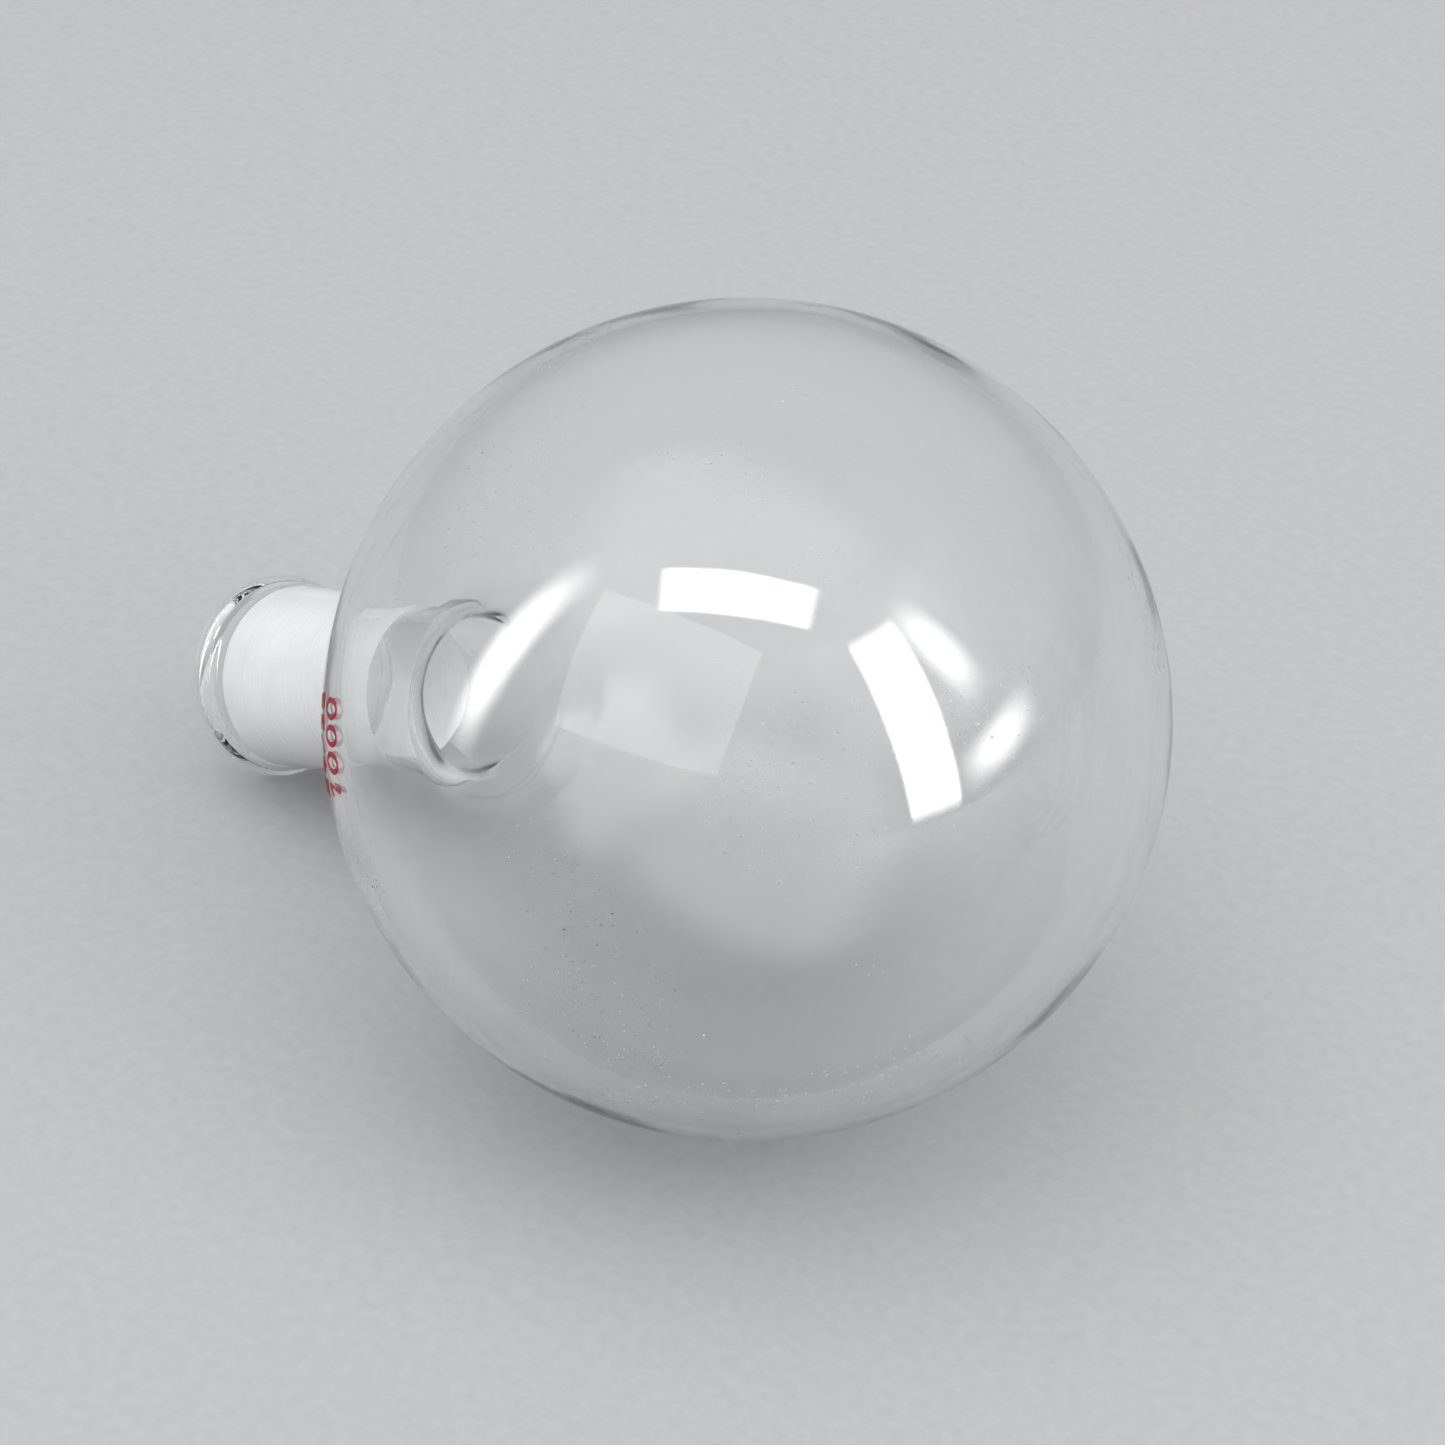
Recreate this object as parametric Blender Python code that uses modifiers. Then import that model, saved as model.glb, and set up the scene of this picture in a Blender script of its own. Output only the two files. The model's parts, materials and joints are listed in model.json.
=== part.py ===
"""Round bottom flask, 1000 ml, with a 29/32 ground socket, lying on its side.

Metres, +Z up. The origin is at the middle of the flask's footprint, on the table. The neck points
along -X and slopes down, so that the bulb and the rim of the mouth both rest on the table.

The glass is drawn first about an upright axis, with the centre of the bulb at zero and the mouth
at the top, and an empty then lays it down.
"""

import math

import bmesh
import bpy
from mathutils import Vector

# Driving dimensions
TOTAL_HEIGHT = 0.200
BULB_RADIUS = 0.0655
BULB_STRETCH = 1.02          # length of the bulb along the neck, over its width
BULB_WALL = 0.0020
SHOULDER_RADIUS = 0.0110     # outside fillet between the bulb and the neck
NECK_RADIUS = 0.0150
NECK_WALL = 0.0020

SOCKET_LENGTH = 0.0480       # from the mouth to the seal on the neck
SOCKET_TOP_RADIUS = 0.0163   # outside, just under the bead
TAPER_TOP_RADIUS = 0.0146    # 29.2 mm across at the wide end
TAPER_LENGTH = 0.0320
TAPER_SLOPE = 0.05           # 1 in 10 on the diameter
LEAD_IN_DEPTH = 0.0075       # polished glass between the mouth and the ground taper
LEAD_IN_WIDTH = 0.0003

BEAD_RADIUS = 0.0180
BEAD_BULGE = 0.0020          # half its thickness across the wall
BEAD_HALF_HEIGHT = 0.0028    # half its height along the neck
BEAD_DEPTH = 0.0072          # from the mouth to where the bead has run out into the neck
BEAD_UNDERSIDE = math.radians(-60.0)    # where its round section ends, below its middle

SEAL_GAP = 0.0003            # between the two tubes where they are fused
PRINT_GAP = 0.0003           # between the glass and the print on it

# Print: two lines of fired enamel on the side of the bulb
PRINT_AZIMUTH = math.radians(-73.7)     # round the neck, from the upper side
STROKE_RADIUS = 0.00027
STROKE_SIDES = 1             # bevel resolution of a stroke's round section
VOLUME_LINE = {"name": "mark_volume", "text": "1000", "polar": math.radians(67.2),
               "pitch": 0.00415, "width": 0.0026, "height": 0.0068}
SIZE_LINE = {"name": "mark_size", "text": "29/32", "polar": math.radians(59.6),
             "pitch": 0.0033, "width": 0.0021, "height": 0.0042}

# Resolution
TURN_STEPS = 40
ARC_STEP = math.radians(7.5)
PEN_STEP = 24                # degrees
MERGE_DISTANCE = 0.00001
TILT_HALVINGS = 50

MOUTH = TOTAL_HEIGHT - BULB_RADIUS * BULB_STRETCH
SEAL = MOUTH - SOCKET_LENGTH
BEAD_CENTRE = (BEAD_RADIUS - BEAD_BULGE, MOUTH - BEAD_HALF_HEIGHT)


def clear_scene():
    for obj in list(bpy.data.objects):
        bpy.data.objects.remove(obj, do_unlink=True)


def make_material(name, colour, roughness, transmission=0.0):
    material = bpy.data.materials.new(name)
    material.use_nodes = True
    shader = material.node_tree.nodes["Principled BSDF"]
    shader.inputs["Base Color"].default_value = (*colour, 1.0)
    shader.inputs["Roughness"].default_value = roughness
    shader.inputs["Metallic"].default_value = 0.0
    shader.inputs["Transmission Weight"].default_value = transmission
    shader.inputs["IOR"].default_value = 1.47
    return material


# ---------------------------------------------------------------- resting position

def reach(axial, radial):
    """How far the bulb and the bead reach from the bulb's centre, in a direction given by its
    parts along the neck and across it."""
    half_length = BULB_RADIUS * BULB_STRETCH
    bulb = math.hypot(half_length * axial, BULB_RADIUS * radial)
    bead_radius, bead_height = BEAD_CENTRE
    bead = bead_height * axial + bead_radius * radial
    bead += math.hypot(BEAD_HALF_HEIGHT * axial, BEAD_BULGE * radial)
    return bulb, bead


def resting_tilt():
    """The slope of the neck at which the bulb and the bead reach equally far down."""
    low = 0.0
    high = math.radians(45.0)
    for _ in range(TILT_HALVINGS):
        middle = (low + high) / 2
        bulb, bead = reach(math.sin(middle), math.cos(middle))
        if bead < bulb:
            low = middle
        else:
            high = middle
    return (low + high) / 2


def bulb_centre(tilt):
    """Where the bulb's centre is, with the footprint's middle at the origin."""
    height, _ = reach(math.sin(tilt), math.cos(tilt))
    bulb_end, mouth_end = reach(math.cos(tilt), math.sin(tilt))
    return Vector(((mouth_end - bulb_end) / 2, 0.0, height))


# ---------------------------------------------------------------- profiles, as (radius, height)

def ellipse_arc(centre, half_width, half_height, start, end):
    """Points along an ellipse, with the angle counted from the outward direction."""
    count = max(2, math.ceil(abs(end - start) / ARC_STEP))
    points = []
    for index in range(count + 1):
        angle = start + (end - start) * index / count
        points.append((centre[0] + half_width * math.cos(angle),
                       centre[1] + half_height * math.sin(angle)))
    return points


def shoulder_centre():
    """Centre of the shoulder's fillet on a round bulb, and its angle from the neck's axis."""
    radius = NECK_RADIUS + SHOULDER_RADIUS
    height = math.sqrt((BULB_RADIUS + SHOULDER_RADIUS) ** 2 - radius ** 2)
    return (radius, height), math.atan2(radius, height)


def contact_angle(tilt):
    """Angle on the bulb's outline of the point that rests on the table."""
    radial = BULB_RADIUS * math.cos(tilt)
    axial = BULB_RADIUS * BULB_STRETCH * math.sin(tilt)
    return math.atan2(axial, radial)


def body_outline(inset, tilt):
    """The bulb's outline from the neck to the pole, moved inwards by inset."""
    centre, polar = shoulder_centre()
    fillet_radius = SHOULDER_RADIUS + inset
    fillet = ellipse_arc(centre, fillet_radius, fillet_radius, math.pi, 1.5 * math.pi - polar)
    radius = BULB_RADIUS - inset
    middle = (0.0, 0.0)
    touch = contact_angle(tilt)
    upper = ellipse_arc(middle, radius, radius, math.pi / 2 - polar, touch)
    lower = ellipse_arc(middle, radius, radius, touch, -math.pi / 2)
    lower[-1] = (0.0, -radius)
    points = fillet + upper[1:] + lower[1:]
    return [(r, h * BULB_STRETCH) for r, h in points]


def bulb_profile(tilt):
    """From the inner pole up the inside, over the stub's end and down the outside."""
    top = SEAL - SEAL_GAP / 2
    inside = body_outline(BULB_WALL, tilt)[::-1]
    outside = body_outline(0.0, tilt)
    stub_end = [(NECK_RADIUS - NECK_WALL, top), (NECK_RADIUS, top)]
    return inside + stub_end + outside


def socket_profile(tilt):
    """Round the wall of the socket: down its outside, and up its bore."""
    crown = ellipse_arc(BEAD_CENTRE, BEAD_BULGE, BEAD_HALF_HEIGHT, math.pi / 2, tilt)
    belly = ellipse_arc(BEAD_CENTRE, BEAD_BULGE, BEAD_HALF_HEIGHT, tilt, BEAD_UNDERSIDE)
    under_bead = (SOCKET_TOP_RADIUS, MOUTH - BEAD_DEPTH)
    bottom = SEAL + SEAL_GAP / 2
    taper_top = MOUTH - LEAD_IN_DEPTH
    taper_bottom = taper_top - TAPER_LENGTH
    outside = [under_bead, (NECK_RADIUS, taper_bottom), (NECK_RADIUS, bottom)]
    narrow_radius = TAPER_TOP_RADIUS - TAPER_SLOPE * TAPER_LENGTH
    bore = [(NECK_RADIUS - NECK_WALL, bottom), (narrow_radius, taper_bottom),
            (TAPER_TOP_RADIUS, taper_top), (TAPER_TOP_RADIUS + LEAD_IN_WIDTH, MOUTH)]
    return crown + belly[1:] + outside + bore


def turn(name, profile, closed, material, parent):
    """A solid turned from a profile about the upright axis."""
    mesh = bpy.data.meshes.new(name)
    shape = bmesh.new()
    verts = [shape.verts.new((radius, 0.0, height)) for radius, height in profile]
    for first, second in zip(verts, verts[1:]):
        shape.edges.new((first, second))
    if closed:
        shape.edges.new((verts[-1], verts[0]))
    shape.to_mesh(mesh)
    shape.free()
    mesh.materials.append(material)
    obj = bpy.data.objects.new(name, mesh)
    add_to_flask(obj, parent)

    screw = obj.modifiers.new("turn", "SCREW")
    screw.axis = "Z"
    screw.steps = TURN_STEPS
    screw.render_steps = TURN_STEPS
    screw.use_merge_vertices = True
    screw.merge_threshold = MERGE_DISTANCE
    screw.use_smooth_shade = True
    return obj


# ---------------------------------------------------------------- print

def stroke_of(character):
    """The pen's path for a character one unit wide and one unit high, and whether it closes."""
    def arc(centre, size, start, end):
        count = max(3, math.ceil(abs(end - start) / PEN_STEP))
        angles = [math.radians(start + (end - start) * index / count) for index in range(count + 1)]
        return [(centre[0] + size[0] * math.cos(a), centre[1] + size[1] * math.sin(a))
                for a in angles]

    if character == "0":
        return arc((0.5, 0.5), (0.5, 0.5), 90, 450)[:-1], True
    if character == "1":
        return [(0.15, 0.76), (0.60, 1.0), (0.60, 0.0)], False
    if character == "2":
        return arc((0.5, 0.71), (0.46, 0.29), 165, -35) + [(0.02, 0.0), (1.0, 0.0)], False
    if character == "3":
        return [(0.06, 1.0), (0.92, 1.0), (0.42, 0.62)] + arc((0.45, 0.31), (0.5, 0.31), 75, -140), False
    if character == "9":
        return arc((0.5, 0.68), (0.5, 0.32), -62, -360) + [(0.93, 0.36), (0.60, 0.0)], False
    return [(0.05, -0.05), (0.95, 1.05)], False


def on_the_bulb(across, up, polar, lift):
    """A point lifted off the bulb: across runs round the neck, and up runs towards it."""
    angle = polar - up / BULB_RADIUS
    azimuth = PRINT_AZIMUTH + across / (BULB_RADIUS * math.sin(polar))
    radius = BULB_RADIUS + lift
    return Vector((radius * math.sin(angle) * math.cos(azimuth),
                   radius * math.sin(angle) * math.sin(azimuth),
                   radius * math.cos(angle) * BULB_STRETCH))


def print_character(line, index, material, parent):
    path, closed = stroke_of(line["text"][index])
    centre = (index - (len(line["text"]) - 1) / 2) * line["pitch"]
    lift = PRINT_GAP + STROKE_RADIUS
    name = f"{line['name']}_{index + 1}"
    curve = bpy.data.curves.new(name, "CURVE")
    curve.dimensions = "3D"
    curve.bevel_depth = STROKE_RADIUS
    curve.bevel_resolution = STROKE_SIDES
    curve.use_fill_caps = True
    spline = curve.splines.new("POLY")
    spline.points.add(len(path) - 1)
    for point, (x, y) in zip(spline.points, path):
        across = centre + (x - 0.5) * line["width"]
        up = (y - 0.5) * line["height"]
        point.co = (*on_the_bulb(across, up, line["polar"], lift), 1.0)
    spline.use_cyclic_u = closed
    curve.materials.append(material)
    add_to_flask(bpy.data.objects.new(name, curve), parent)


def add_to_flask(obj, parent):
    bpy.data.collections["round_bottom_flask"].objects.link(obj)
    obj.parent = parent


def build():
    clear_scene()
    collection = bpy.data.collections.new("round_bottom_flask")
    bpy.context.scene.collection.children.link(collection)

    clear_glass = make_material("clear_glass", (0.93, 0.95, 0.95), 0.02, 1.0)
    ground_glass = make_material("ground_glass", (0.86, 0.88, 0.88), 0.45, 1.0)
    enamel = make_material("red_enamel", (0.55, 0.02, 0.05), 0.4)

    tilt = resting_tilt()
    axis = bpy.data.objects.new("flask_axis", None)
    axis.location = bulb_centre(tilt)
    axis.rotation_euler = (0.0, -(math.pi / 2 + tilt), 0.0)
    collection.objects.link(axis)

    turn("bulb", bulb_profile(tilt), False, clear_glass, axis)
    turn("ground_socket", socket_profile(tilt), True, ground_glass, axis)
    for line in (VOLUME_LINE, SIZE_LINE):
        for index in range(len(line["text"])):
            print_character(line, index, enamel, axis)


build()
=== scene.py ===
import json
import math

import bpy
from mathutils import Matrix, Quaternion, Vector, noise


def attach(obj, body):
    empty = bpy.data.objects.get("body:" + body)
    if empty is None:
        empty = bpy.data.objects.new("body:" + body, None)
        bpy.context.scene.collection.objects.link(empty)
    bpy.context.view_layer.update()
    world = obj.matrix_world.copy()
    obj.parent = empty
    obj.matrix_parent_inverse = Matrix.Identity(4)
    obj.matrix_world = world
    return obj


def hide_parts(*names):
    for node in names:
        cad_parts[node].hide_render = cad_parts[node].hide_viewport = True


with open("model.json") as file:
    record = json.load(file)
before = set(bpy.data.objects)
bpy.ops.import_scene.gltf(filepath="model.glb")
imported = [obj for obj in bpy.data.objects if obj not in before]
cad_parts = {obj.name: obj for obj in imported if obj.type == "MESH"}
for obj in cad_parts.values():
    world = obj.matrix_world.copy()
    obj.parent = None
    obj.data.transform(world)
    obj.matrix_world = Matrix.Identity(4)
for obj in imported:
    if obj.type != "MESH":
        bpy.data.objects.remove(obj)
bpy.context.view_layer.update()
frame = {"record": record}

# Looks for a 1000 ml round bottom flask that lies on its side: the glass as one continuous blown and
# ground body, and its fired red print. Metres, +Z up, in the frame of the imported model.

# ---------------------------------------------------------------- the flask's sizes
# Profiles are turned round the neck's axis: (radius, height above the bulb's centre).

TOTAL_HEIGHT = 0.200
BULB_RADIUS = 0.0655
BULB_STRETCH = 1.02           # the bulb is this much longer than it is wide
BULB_WALL = 0.0019            # leaves the plain bore 0.1 mm wider than the end of the ground bore
SHOULDER_RADIUS = 0.0110
NECK_RADIUS = 0.0150
MOUTH = TOTAL_HEIGHT - BULB_RADIUS * BULB_STRETCH
SOCKET_LENGTH = 0.0480
SEAL = MOUTH - SOCKET_LENGTH
RIM_RADIUS = 0.01545          # where the record puts its mount on the rim
BEAD_RADIUS = 0.0180
BEAD_BULGE = 0.0020
BEAD_HALF_HEIGHT = 0.0028
BEAD_DEPTH = 0.0072
BEAD_UNDERSIDE = math.radians(-60.0)
SOCKET_TOP_RADIUS = 0.0163
SOCKET_BEND = 0.3             # how far the socket's outside swings from a straight line into an S
LIP_RADIUS = 0.0009           # fire polish on the inner edge of the rim
GROOVE_DEPTH = 0.0046         # a shallow tooled groove between the rim and the ground bore
GROOVE_WIDTH = 0.0007
LEAD_IN_DEPTH = 0.0075
LEAD_IN_WIDTH = 0.0003
TAPER_TOP_RADIUS = 0.0146
TAPER_LENGTH = 0.0320
TAPER_SLOPE = 0.05

SHOULDER_ACROSS = NECK_RADIUS + SHOULDER_RADIUS
SHOULDER_ALONG = math.sqrt((BULB_RADIUS + SHOULDER_RADIUS) ** 2 - SHOULDER_ACROSS ** 2)
SHOULDER_MIDDLE = SHOULDER_ALONG * BULB_STRETCH - SHOULDER_RADIUS / 2

RIM = next(mount for mount in frame["record"]["mounts"] if mount["name"] == "mouth_rim")
NECK = Vector(RIM["axis"]).normalized()
UPPER_SIDE = Vector((NECK.z, 0.0, -NECK.x))
FAR_SIDE = Vector((0.0, 1.0, 0.0))
BULB_CENTRE = Vector(RIM["pos_m"]) - NECK * MOUTH - UPPER_SIDE * RIM_RADIUS


def place(radius, azimuth, height):
    """A point of the turned flask: azimuth runs round the neck, from its upper side to its far side."""
    across = UPPER_SIDE * math.cos(azimuth) + FAR_SIDE * math.sin(azimuth)
    return BULB_CENTRE + across * radius + NECK * height


# ---------------------------------------------------------------- outlines of the glass

FINEST_ARC_STEP = math.radians(1.6)
COARSEST_ARC_STEP = math.radians(4.5)
ARC_SPACING = 0.0005
STRAIGHT_STEP = 0.0008
BEND_STEPS = 10


def arc(centre, half_width, half_height, start, end):
    """Points along an elliptical arc, both ends included."""
    step = min(COARSEST_ARC_STEP, max(FINEST_ARC_STEP, ARC_SPACING / max(half_width, half_height)))
    count = math.ceil(abs(end - start) / step)
    points = []
    for index in range(count + 1):
        angle = start + (end - start) * index / count
        points.append((centre[0] + half_width * math.cos(angle),
                       centre[1] + half_height * math.sin(angle)))
    return points


def straight_steps(first, second):
    return max(2, math.ceil(math.dist(first, second) / STRAIGHT_STEP))


def link(first, second, count, bend):
    """Points between two others, without the ends: bend 0 is a straight line and 1 is an S."""
    points = []
    for index in range(1, count):
        share = index / count
        curved = share * share * (3 - 2 * share)
        inwards = share + bend * (curved - share)
        points.append((first[0] + (second[0] - first[0]) * inwards,
                       first[1] + (second[1] - first[1]) * share))
    return points


def straight(first, second):
    return link(first, second, straight_steps(first, second), 0.0)


def eased(first, second):
    return link(first, second, BEND_STEPS, 1.0)


def body_outline(inset):
    """The bulb and its shoulder, from the neck down to the pole, moved inwards by inset."""
    polar = math.atan2(SHOULDER_ACROSS, SHOULDER_ALONG)
    fillet = SHOULDER_RADIUS + inset
    radius = BULB_RADIUS - inset
    points = arc((SHOULDER_ACROSS, SHOULDER_ALONG), fillet, fillet, math.pi, 1.5 * math.pi - polar)
    points += arc((0.0, 0.0), radius, radius, math.pi / 2 - polar, -math.pi / 2)[1:]
    points[-1] = (0.0, -radius)
    return [(r, h * BULB_STRETCH) for r, h in points]


def outer_profile():
    """From the top of the bead down the outside to the pole."""
    centre = (BEAD_RADIUS - BEAD_BULGE, MOUTH - BEAD_HALF_HEIGHT)
    bead = arc(centre, BEAD_BULGE, BEAD_HALF_HEIGHT, math.pi / 2, BEAD_UNDERSIDE)
    under_bead = (SOCKET_TOP_RADIUS, MOUTH - BEAD_DEPTH)
    narrow = (NECK_RADIUS, MOUTH - LEAD_IN_DEPTH - TAPER_LENGTH)
    body = body_outline(0.0)
    points = bead + eased(bead[-1], under_bead) + [under_bead]
    points += link(under_bead, narrow, straight_steps(under_bead, narrow), SOCKET_BEND) + [narrow]
    points += straight(narrow, body[0]) + body
    return points


def inner_profile():
    """From the inner edge of the rim down the bore to the inner pole, and what is ground of it."""
    lip = arc((TAPER_TOP_RADIUS + LEAD_IN_WIDTH + LIP_RADIUS, MOUTH - LIP_RADIUS),
              LIP_RADIUS, LIP_RADIUS, math.pi / 2, math.pi)
    groove = (TAPER_TOP_RADIUS + GROOVE_WIDTH, MOUTH - GROOVE_DEPTH)
    taper_top = (TAPER_TOP_RADIUS, MOUTH - LEAD_IN_DEPTH)
    taper_end = (TAPER_TOP_RADIUS - TAPER_SLOPE * TAPER_LENGTH, taper_top[1] - TAPER_LENGTH)
    body = body_outline(BULB_WALL)
    points = lip + eased(lip[-1], groove) + [groove] + eased(groove, taper_top) + [taper_top]
    ground_start = len(points) - 1
    points += straight(taper_top, taper_end) + [taper_end]
    ground_end = len(points) - 1
    points += straight(taper_end, body[0]) + body
    return points, range(ground_start, ground_end)


# ---------------------------------------------------------------- waves that blowing leaves

NOISE_GAIN = 1.6              # takes the noise's usual range to about minus one to one
NECKWISE_SQUEEZE = 0.8        # draws the waves out along the neck
WAVE_FADE = 0.0120            # the waves grow from nothing at the seal over this length
OUTER_WAVE = 0.00002          # height of the waves on each surface
INNER_WAVE = 0.00007
OUTER_WAVE_SIZE = 0.026
INNER_WAVE_SIZE = 0.020
RIPPLE_SIZE = 0.008
RIPPLE_SHARE = 0.16
OUTER_LUMP = 0.00004          # height of the lumps where the neck was drawn from the bulb
INNER_LUMP = 0.00013
LUMP_SIZE = 0.0090
LUMP_REACH = 0.0080
OUTER_WAVE_SHIFT = Vector((7.0, 0.0, 0.0))
RIPPLE_SHIFT = Vector((3.0, 1.0, 0.0))


def waves(position, size):
    """Smooth swells from minus one to one, of about this size."""
    return noise.noise(position / size) * NOISE_GAIN


def wall_wave(inner, radius, azimuth, height):
    """How far a surface stands out at a place on it."""
    spot = Vector((math.cos(azimuth) * radius, math.sin(azimuth) * radius, height * NECKWISE_SQUEEZE))
    near_shoulder = math.exp(-((height - SHOULDER_MIDDLE) / LUMP_REACH) ** 2)
    lump = near_shoulder * waves(spot, LUMP_SIZE)
    if not inner:
        return OUTER_WAVE * waves(spot + OUTER_WAVE_SHIFT, OUTER_WAVE_SIZE) + OUTER_LUMP * lump
    swell = waves(spot, INNER_WAVE_SIZE)
    ripple = waves(spot + RIPPLE_SHIFT, RIPPLE_SIZE)
    return INNER_WAVE * (swell + RIPPLE_SHARE * ripple) - INNER_LUMP * lump


# ---------------------------------------------------------------- the glass's skin

TURN_STEPS = 208
CLEAR, GROUND = 0, 1          # the skin's two materials


def turned_rings(profile, inner):
    """Rings of points round the neck, with the skin's waves along the outline's normal."""
    rings = []
    for index, (radius, height) in enumerate(profile):
        before = profile[max(index - 1, 0)]
        after = profile[min(index + 1, len(profile) - 1)]
        tangent = Vector((after[0] - before[0], after[1] - before[1])).normalized()
        normal = Vector((-tangent.y, tangent.x))
        fade = min(1.0, max(0.0, (SEAL - height) / WAVE_FADE))
        ring = []
        for step in range(TURN_STEPS):
            azimuth = 2 * math.pi * step / TURN_STEPS
            push = fade * wall_wave(inner, radius, azimuth, height)
            ring.append(place(radius + normal.x * push, azimuth, height + normal.y * push))
        rings.append(ring)
    return rings


def band(upper, lower):
    """The faces between two rings, which start at these points."""
    faces = []
    for step in range(TURN_STEPS):
        following = (step + 1) % TURN_STEPS
        faces.append((upper + step, lower + step, lower + following, upper + following))
    return faces


def fan(ring, pole):
    """The faces that close a ring with one point."""
    return [(ring + step, pole, ring + (step + 1) % TURN_STEPS) for step in range(TURN_STEPS)]


def skin_faces(outer_count, inner_count, ground_bands):
    """Faces down the outside and back up the inside to the rim, and each face's material."""
    first_inner = outer_count * TURN_STEPS
    end = first_inner + inner_count * TURN_STEPS
    faces = []
    for index in range(outer_count - 1):
        faces += band(index * TURN_STEPS, (index + 1) * TURN_STEPS)
    faces += band(first_inner, 0)
    materials = [CLEAR] * len(faces)
    for index in range(inner_count - 1):
        faces += band(first_inner + (index + 1) * TURN_STEPS, first_inner + index * TURN_STEPS)
        materials += [GROUND if index in ground_bands else CLEAR] * TURN_STEPS
    faces += fan(first_inner - TURN_STEPS, end)
    faces += [tuple(reversed(face)) for face in fan(end - TURN_STEPS, end + 1)]
    materials += [CLEAR] * (2 * TURN_STEPS)
    return faces, materials


def smooth_object(name, verts, faces):
    mesh = bpy.data.meshes.new(name)
    mesh.from_pydata(verts, [], faces)
    for face in mesh.polygons:
        face.use_smooth = True
    piece = bpy.data.objects.new(name, mesh)
    bpy.context.scene.collection.objects.link(piece)
    return piece


def make_glass(clear, ground):
    """One closed skin: down the outside, and back up the inside to the rim."""
    outer = outer_profile()
    inner, ground_bands = inner_profile()
    outer_rings = turned_rings(outer[:-1], False)
    inner_rings = turned_rings(inner[:-1], True)
    verts = []
    for ring in outer_rings + inner_rings:
        verts.extend(ring)
    verts.append(BULB_CENTRE + NECK * outer[-1][1])
    verts.append(BULB_CENTRE + NECK * inner[-1][1])
    faces, materials = skin_faces(len(outer_rings), len(inner_rings), ground_bands)

    glass = smooth_object("flask_glass", verts, faces)
    glass.data.materials.append(clear)
    glass.data.materials.append(ground)
    glass.data.polygons.foreach_set("material_index", materials)
    glass.data.update()
    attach(glass, "root")
    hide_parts("bulb", "ground_socket")


# ---------------------------------------------------------------- materials
# Grain sizes are in cells a metre, and relief depths in metres. A range of a grain's values, such as
# COMMON, is what gets spread over a range of roughness or over two tints.

COMMON = (0.35, 0.65)         # where most of a grain's values lie
NEARLY_ALL = (0.3, 0.7)

BOROSILICATE_IOR = 1.473
CLEAR_TINT = (0.985, 0.995, 0.992, 1.0)
STRIAE_CELLS = 170.0
STRIAE_DEPTH = 0.00001
DUST_CELLS = 1500.0
DUST_SPECKS = (0.785, 0.81)   # only the highest spots of the grain
DUST_PATCH_CELLS = 28.0
DUST_PATCHES = (0.48, 0.64)
DUST_ROUGHNESS = (0.04, 0.35)

GROUND_CLEARNESS = 0.28       # how much of the light goes straight on through the ground bore
GROUND_TINTS = ((0.90, 0.91, 0.912), (0.985, 0.99, 0.99))
GROUND_ROUGHNESS = (0.50, 0.75)
GRIT_CELLS = 5200.0
CLOUD_CELLS = 160.0
GRINDING_RINGS = 1500.0       # rings a metre along the bore
RING_SHARE = 0.35
GRIT_DEPTH = 0.00004

ENAMEL_TINTS = ((0.26, 0.001, 0.008), (0.42, 0.003, 0.013))
ENAMEL_ROUGHNESS = (0.32, 0.55)
ENAMEL_SHINE = 0.10
MOTTLE_CELLS = 1400.0
ENAMEL_PIT_CELLS = 3800.0
ENAMEL_PIT_DEPTH = 0.00003

FLOOR_TINTS = ((0.345, 0.346, 0.349), (0.370, 0.371, 0.373))
FLOOR_ROUGHNESS = 0.8
FLOOR_SHINE = 0.2
FLOOR_CELLS = 420.0


def new_material(name):
    material = bpy.data.materials.new(name)
    material.use_nodes = True
    return material, material.node_tree, material.node_tree.nodes["Principled BSDF"].inputs


def place_on_piece(tree):
    return tree.nodes.new("ShaderNodeTexCoord").outputs["Object"]


def grain(tree, cells, detail=2.0):
    """A noise that is fixed to the piece, of so many cells a metre."""
    texture = tree.nodes.new("ShaderNodeTexNoise")
    texture.inputs["Scale"].default_value = cells
    texture.inputs["Detail"].default_value = detail
    tree.links.new(place_on_piece(tree), texture.inputs["Vector"])
    return texture.outputs["Fac"]


def rings_along(tree, axis, cells):
    """A noise that changes only along an axis, of so many cells a metre."""
    along = tree.nodes.new("ShaderNodeVectorMath")
    along.operation = "DOT_PRODUCT"
    along.inputs[1].default_value = axis
    tree.links.new(place_on_piece(tree), along.inputs[0])
    texture = tree.nodes.new("ShaderNodeTexNoise")
    texture.noise_dimensions = "1D"
    texture.inputs["Scale"].default_value = cells
    tree.links.new(along.outputs["Value"], texture.inputs["W"])
    return texture.outputs["Fac"]


def stretched(tree, value, values, results=(0.0, 1.0)):
    """The value, with one range spread over another and held at both ends."""
    node = tree.nodes.new("ShaderNodeMapRange")
    node.inputs["From Min"].default_value = values[0]
    node.inputs["From Max"].default_value = values[1]
    node.inputs["To Min"].default_value = results[0]
    node.inputs["To Max"].default_value = results[1]
    tree.links.new(value, node.inputs["Value"])
    return node.outputs["Result"]


def combined(tree, operation, first, second):
    """The sum, product or other result of two values, each a socket or a number."""
    node = tree.nodes.new("ShaderNodeMath")
    node.operation = operation
    for socket, value in zip(node.inputs, (first, second)):
        if isinstance(value, float):
            socket.default_value = value
        else:
            tree.links.new(value, socket)
    return node.outputs["Value"]


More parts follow.
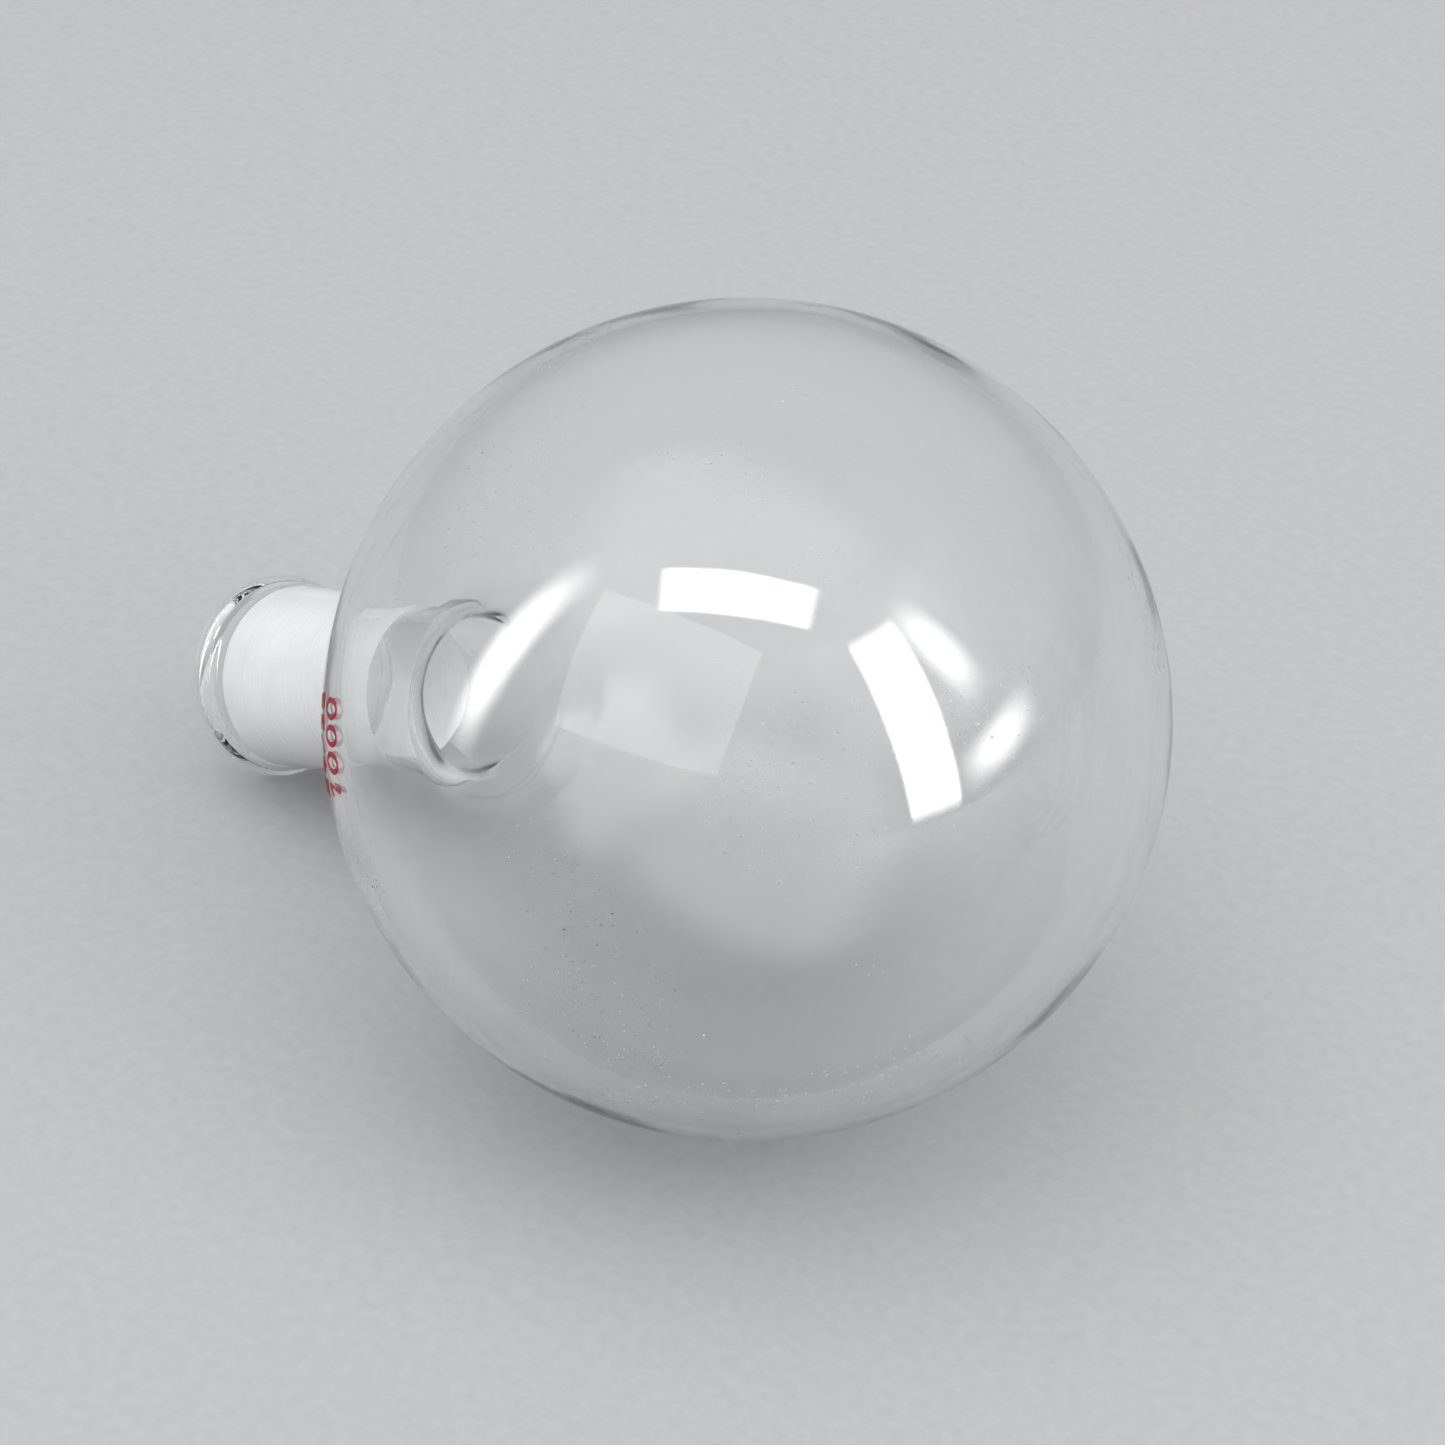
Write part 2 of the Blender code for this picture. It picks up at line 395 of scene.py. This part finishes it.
def tinted(tree, factor, tints):
    """A colour between two tints."""
    node = tree.nodes.new("ShaderNodeValToRGB")
    for element, tint in zip(node.color_ramp.elements, tints):
        element.color = (*tint, 1.0)
    tree.links.new(factor, node.inputs["Fac"])
    return node.outputs["Color"]


def relief(tree, height, depth):
    """A normal from a height of one unit that stands for depth metres."""
    node = tree.nodes.new("ShaderNodeBump")
    node.inputs["Strength"].default_value = 1.0
    node.inputs["Distance"].default_value = depth
    tree.links.new(height, node.inputs["Height"])
    return node.outputs["Normal"]


def clear_glass():
    """Blown glass: faint striae in its skin, and a thin scatter of dust on it."""
    material, tree, sockets = new_material("clear_glass")
    sockets["Base Color"].default_value = CLEAR_TINT
    sockets["IOR"].default_value = BOROSILICATE_IOR
    sockets["Transmission Weight"].default_value = 1.0
    specks = stretched(tree, grain(tree, DUST_CELLS, 0.0), DUST_SPECKS)
    patches = stretched(tree, grain(tree, DUST_PATCH_CELLS), DUST_PATCHES, DUST_ROUGHNESS)
    tree.links.new(combined(tree, "MULTIPLY", specks, patches), sockets["Roughness"])
    striae = relief(tree, grain(tree, STRIAE_CELLS, 0.0), STRIAE_DEPTH)
    tree.links.new(striae, sockets["Normal"])
    return material


def ground_glass():
    """Glass ground to a fine matt: a milky grain, with faint rings round the bore."""
    material, tree, sockets = new_material("ground_glass")
    sockets["IOR"].default_value = BOROSILICATE_IOR
    sockets["Transmission Weight"].default_value = GROUND_CLEARNESS
    rings = rings_along(tree, NECK, GRINDING_RINGS)
    grit = grain(tree, GRIT_CELLS, 3.0)
    cloud = grain(tree, CLOUD_CELLS, 3.0)
    tone = combined(tree, "ADD", combined(tree, "MULTIPLY", rings, RING_SHARE),
                    combined(tree, "MULTIPLY", cloud, 1.0 - RING_SHARE))
    tree.links.new(tinted(tree, stretched(tree, tone, COMMON), GROUND_TINTS), sockets["Base Color"])
    tree.links.new(stretched(tree, grit, NEARLY_ALL, GROUND_ROUGHNESS), sockets["Roughness"])
    tree.links.new(relief(tree, combined(tree, "ADD", grit, rings), GRIT_DEPTH), sockets["Normal"])
    return material


def red_enamel():
    """Fired enamel: slightly uneven in colour and gloss."""
    material, tree, sockets = new_material("red_enamel")
    sockets["Specular IOR Level"].default_value = ENAMEL_SHINE
    mottle = stretched(tree, grain(tree, MOTTLE_CELLS, 3.0), COMMON)
    tree.links.new(tinted(tree, mottle, ENAMEL_TINTS), sockets["Base Color"])
    tree.links.new(stretched(tree, mottle, (0.0, 1.0), ENAMEL_ROUGHNESS), sockets["Roughness"])
    pits = relief(tree, grain(tree, ENAMEL_PIT_CELLS), ENAMEL_PIT_DEPTH)
    tree.links.new(pits, sockets["Normal"])
    return material


def floor_material():
    """A matt pale table top with a faint tooth."""
    material, tree, sockets = new_material("studio_floor")
    sockets["Specular IOR Level"].default_value = FLOOR_SHINE
    sockets["Roughness"].default_value = FLOOR_ROUGHNESS
    mottle = stretched(tree, grain(tree, FLOOR_CELLS, 4.0), NEARLY_ALL)
    tree.links.new(tinted(tree, mottle, FLOOR_TINTS), sockets["Base Color"])
    return material


# ---------------------------------------------------------------- print
# A line's polar angle is measured at the bulb's centre, from the neck to the middle of the line.

PRINT_AZIMUTH = math.radians(-73.7)
PRINT_LIFT = 0.00002
PRINT_THICKNESS = 0.00006
STROKE_UNEVENNESS = 0.14
UNEVENNESS_SIZE = 0.0006
PEN_STEP = 7                  # degrees
ROUND_END = (0.35, 0.65, 0.88, 0.98)      # shares of the half width, out along a stroke's end
RIBBON = ((-1.0, 0.15), (-0.8, 0.75), (-0.4, 1.0), (0.0, 1.0), (0.4, 1.0), (0.8, 0.75),
          (1.0, 0.15), (0.92, 0.0), (-0.92, 0.0))      # a stroke's section: (across, height)
VOLUME_LINE = {"name": "mark_volume", "text": "1000", "polar": math.radians(67.2),
               "pitch": 0.00415, "width": 0.0026, "height": 0.0068, "stroke": 0.00090}
SIZE_LINE = {"name": "mark_size", "text": "29/32", "polar": math.radians(59.6),
             "pitch": 0.0033, "width": 0.0021, "height": 0.0042, "stroke": 0.00074}


def pen_arc(centre, size, start, end):
    """Points along an arc of a character, with its angles in degrees."""
    count = max(8, math.ceil(abs(end - start) / PEN_STEP))
    angles = [math.radians(start + (end - start) * index / count) for index in range(count + 1)]
    return [(centre[0] + size[0] * math.cos(a), centre[1] + size[1] * math.sin(a)) for a in angles]


CHARACTERS = {                # the pen's path over a box one unit wide and one unit high
    "0": pen_arc((0.5, 0.5), (0.5, 0.5), 90, 450)[:-1],
    "1": [(0.15, 0.76), (0.60, 1.0), (0.60, 0.0)],
    "2": pen_arc((0.5, 0.71), (0.46, 0.29), 165, -35) + [(0.02, 0.0), (1.0, 0.0)],
    "3": [(0.06, 1.0), (0.92, 1.0), (0.42, 0.62)] + pen_arc((0.45, 0.31), (0.5, 0.31), 75, -140),
    "9": pen_arc((0.5, 0.68), (0.5, 0.32), -62, -360) + [(0.93, 0.36), (0.60, 0.0)],
    "/": [(0.05, -0.05), (0.95, 1.05)],
}
CLOSED_CHARACTERS = "0"


def bulb_point(line, across, up, lift):
    """A point over the bulb's outer skin: across runs round the neck, and up runs towards it."""
    polar = line["polar"] - up / BULB_RADIUS
    azimuth = PRINT_AZIMUTH + across / (BULB_RADIUS * math.sin(line["polar"]))
    radius = BULB_RADIUS + lift
    height = radius * math.cos(polar) * BULB_STRETCH
    radius += wall_wave(False, radius * math.sin(polar), azimuth, height)
    return place(radius * math.sin(polar), azimuth, height)


def rounded_end(tip, outwards, side, half):
    """Sections that narrow past the tip of a stroke."""
    return [(tip + outwards * half * share, side, half * math.sqrt(1 - share * share))
            for share in ROUND_END]


def stroke_sections(points, closed, half):
    """Where the pen goes: each section's middle, its side direction and its half width."""
    sections = []
    count = len(points)
    for index, point in enumerate(points):
        before = points[(index - 1) % count] if closed or index else point
        after = points[(index + 1) % count] if closed or index < count - 1 else point
        along = (after - before).normalized()
        spot = Vector((point.x, point.y, 0.0)) / UNEVENNESS_SIZE
        uneven = 1.0 + STROKE_UNEVENNESS * noise.noise(spot)
        sections.append((point, Vector((-along.y, along.x)), half * uneven))
    if closed:
        return sections
    head = rounded_end(points[0], (points[0] - points[1]).normalized(), sections[0][1], half)
    tail = rounded_end(points[-1], (points[-1] - points[-2]).normalized(), sections[-1][1], half)
    return head[::-1] + sections + tail


def ribbon_faces(count, closed):
    """Faces along a stroke of so many sections, with its two ends closed."""
    around = len(RIBBON)
    faces = []
    for section in range(count if closed else count - 1):
        here = section * around
        there = (section + 1) % count * around
        for step in range(around):
            following = (step + 1) % around
            faces.append((here + step, there + step, there + following, here + following))
    if not closed:
        last = (count - 1) * around
        faces.append(tuple(range(around)))
        faces.append(tuple(reversed(range(last, last + around))))
    return faces


def make_character(line, index, material):
    """One character as a low domed ribbon of enamel on the bulb."""
    character = line["text"][index]
    closed = character in CLOSED_CHARACTERS
    middle = (index - (len(line["text"]) - 1) / 2) * line["pitch"]
    points = [Vector((middle + (x - 0.5) * line["width"], (y - 0.5) * line["height"]))
              for x, y in CHARACTERS[character]]
    sections = stroke_sections(points, closed, line["stroke"] / 2)
    verts = []
    for point, side, half in sections:
        for across, height in RIBBON:
            spot = point + side * (across * half)
            verts.append(bulb_point(line, spot.x, spot.y, PRINT_LIFT + PRINT_THICKNESS * height))
    name = f"{line['name']}_{index + 1}"
    mark = smooth_object(f"enamel_{name}", verts, ribbon_faces(len(sections), closed))
    mark.data.materials.append(material)
    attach(mark, "root")
    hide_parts(name)


# ---------------------------------------------------------------- studio
# A light's turn and rise are its angles in degrees to the right of the camera's view axis and above
# it, seen from the bulb. Its softness is the share of its half width over which its edge fades.

VIEW_AZIMUTH = math.radians(46.5)
VIEW_ELEVATION = math.radians(33.4)
VIEW_DISTANCE = 0.6725
VIEW_LENS = 107.5             # millimetres, as is the sensor
SENSOR_WIDTH = 36.0
AIM_LEFT = 0.0037
AIM_DOWN = 0.0005

FLOOR_RADIUS = 6.0
FLOOR_SIDES = 96
SKY_TINTS = ((0.375, 0.377, 0.382), (0.98, 0.985, 0.995))
SKY_RISE = (0.10, 0.75)       # the sky goes from its low tint to its high tint between these heights

# A lamp lights the floor and the glass, and a card only shows as a reflection on the glass.
LAMPS = (
    {"name": "overhead_lamp", "turn": -12.0, "rise": 40.0, "distance": 3.4, "size": (6.4, 5.6),
     "radiance": 1.75, "softness": 0.6},
    {"name": "side_lamp", "turn": 40.0, "rise": 12.0, "distance": 3.4, "size": (4.0, 3.4),
     "radiance": 2.0, "softness": 0.6},
)
CARDS = (
    {"name": "top_card", "turn": -5.0, "rise": 33.0, "distance": 2.6, "size": (1.95, 0.60),
     "radiance": 25.0, "softness": 0.22},
    {"name": "right_card", "turn": 42.0, "rise": 0.0, "distance": 2.6, "size": (0.78, 2.5),
     "radiance": 25.0, "softness": 0.22},
    {"name": "left_card", "turn": -69.0, "rise": 15.0, "distance": 2.8, "size": (0.68, 3.3),
     "radiance": 26.0, "softness": 1.0},
    {"name": "far_right_card", "turn": 51.0, "rise": 17.0, "distance": 2.8, "size": (0.70, 1.8),
     "radiance": 20.0, "softness": 1.0, "lean": 12.0},
    {"name": "low_right_card", "turn": 68.0, "rise": -4.0, "distance": 2.8, "size": (0.70, 1.7),
     "radiance": 20.0, "softness": 1.0, "lean": -80.0},
    {"name": "window_card", "turn": -26.0, "rise": 9.0, "distance": 3.0, "size": (2.6, 2.0),
     "radiance": 2.2, "softness": 0.03, "color": (0.86, 0.93, 1.0)},
)


def view_frame():
    """Unit vectors from the bulb: back to the camera, to its right and to its top."""
    back = Vector((math.sin(VIEW_AZIMUTH) * math.cos(VIEW_ELEVATION),
                   -math.cos(VIEW_AZIMUTH) * math.cos(VIEW_ELEVATION), math.sin(VIEW_ELEVATION)))
    right = Vector((math.cos(VIEW_AZIMUTH), math.sin(VIEW_AZIMUTH), 0.0))
    return back, right, back.cross(right)


def make_camera():
    back, right, up = view_frame()
    camera = bpy.data.objects.new("camera", bpy.data.cameras.new("camera"))
    bpy.context.scene.collection.objects.link(camera)
    camera.data.lens = VIEW_LENS
    camera.data.sensor_width = SENSOR_WIDTH
    camera.location = BULB_CENTRE + back * VIEW_DISTANCE
    target = BULB_CENTRE - right * AIM_LEFT - up * AIM_DOWN
    camera.rotation_euler = (target - camera.location).to_track_quat("-Z", "Y").to_euler()
    bpy.context.scene.camera = camera


def edge_fade(tree, softness):
    """One in the middle of a light and zero at its edge, over this share of its half width."""
    across = tree.nodes.new("ShaderNodeNewGeometry").outputs["Parametric"]
    split = tree.nodes.new("ShaderNodeSeparateXYZ")
    tree.links.new(across, split.inputs[0])
    fades = []
    for axis in ("X", "Y"):
        offset = combined(tree, "SUBTRACT", split.outputs[axis], 0.5)
        distance = combined(tree, "ABSOLUTE", offset, 0.0)
        fade = tree.nodes.new("ShaderNodeMapRange")
        fade.interpolation_type = "SMOOTHSTEP"
        fade.inputs["From Min"].default_value = 0.5
        fade.inputs["From Max"].default_value = 0.5 - 0.5 * softness
        tree.links.new(distance, fade.inputs["Value"])
        fades.append(fade.outputs["Result"])
    return combined(tree, "MULTIPLY", *fades)


def make_light(box, reflection_only):
    """A rectangular light that faces the bulb, and that the camera doesn't see."""
    back, right, up = view_frame()
    turn = math.radians(box["turn"])
    rise = math.radians(box["rise"])
    direction = back * (math.cos(turn) * math.cos(rise)) + right * (math.sin(turn) * math.cos(rise))
    direction += up * math.sin(rise)
    light = bpy.data.lights.new(box["name"], "AREA")
    light.shape = "RECTANGLE"
    light.size, light.size_y = box["size"]
    light.energy = box["radiance"] * math.pi * light.size * light.size_y
    light.color = box.get("color", (1.0, 1.0, 1.0))
    light.use_nodes = True
    tree = light.node_tree
    tree.links.new(edge_fade(tree, box["softness"]), tree.nodes["Emission"].inputs["Strength"])
    lamp = bpy.data.objects.new(box["name"], light)
    lamp.location = BULB_CENTRE + direction * box["distance"]
    lean = Quaternion((0.0, 0.0, 1.0), math.radians(box.get("lean", 0.0)))
    lamp.rotation_euler = (direction.to_track_quat("Z", "Y") @ lean).to_euler()
    lamp.visible_camera = False
    lamp.visible_glossy = reflection_only
    lamp.visible_diffuse = not reflection_only
    lamp.visible_transmission = not reflection_only
    bpy.context.scene.collection.objects.link(lamp)


def make_floor():
    bpy.ops.mesh.primitive_circle_add(vertices=FLOOR_SIDES, radius=FLOOR_RADIUS, fill_type="NGON")
    floor = bpy.context.active_object
    floor.name = "studio_floor"
    floor.data.materials.append(floor_material())


def make_sky():
    """Soft light from all round that grows brighter towards the top."""
    world = bpy.data.worlds.new("studio")
    bpy.context.scene.world = world
    world.use_nodes = True
    tree = world.node_tree
    split = tree.nodes.new("ShaderNodeSeparateXYZ")
    tree.links.new(tree.nodes.new("ShaderNodeTexCoord").outputs["Generated"], split.inputs[0])
    sky = tinted(tree, stretched(tree, split.outputs["Z"], SKY_RISE), SKY_TINTS)
    tree.links.new(sky, tree.nodes["Background"].inputs["Color"])
    tree.nodes["Background"].inputs["Strength"].default_value = 1.0


def make_studio():
    make_floor()
    for box in LAMPS:
        make_light(box, False)
    for box in CARDS:
        make_light(box, True)
    make_sky()
    scene = bpy.context.scene
    scene.cycles.transmission_bounces = 16
    scene.cycles.max_bounces = 20
    scene.view_settings.view_transform = "Standard"


make_camera()
make_glass(clear_glass(), ground_glass())
enamel = red_enamel()
for printed_line in (VOLUME_LINE, SIZE_LINE):
    for position in range(len(printed_line["text"])):
        make_character(printed_line, position, enamel)
make_studio()
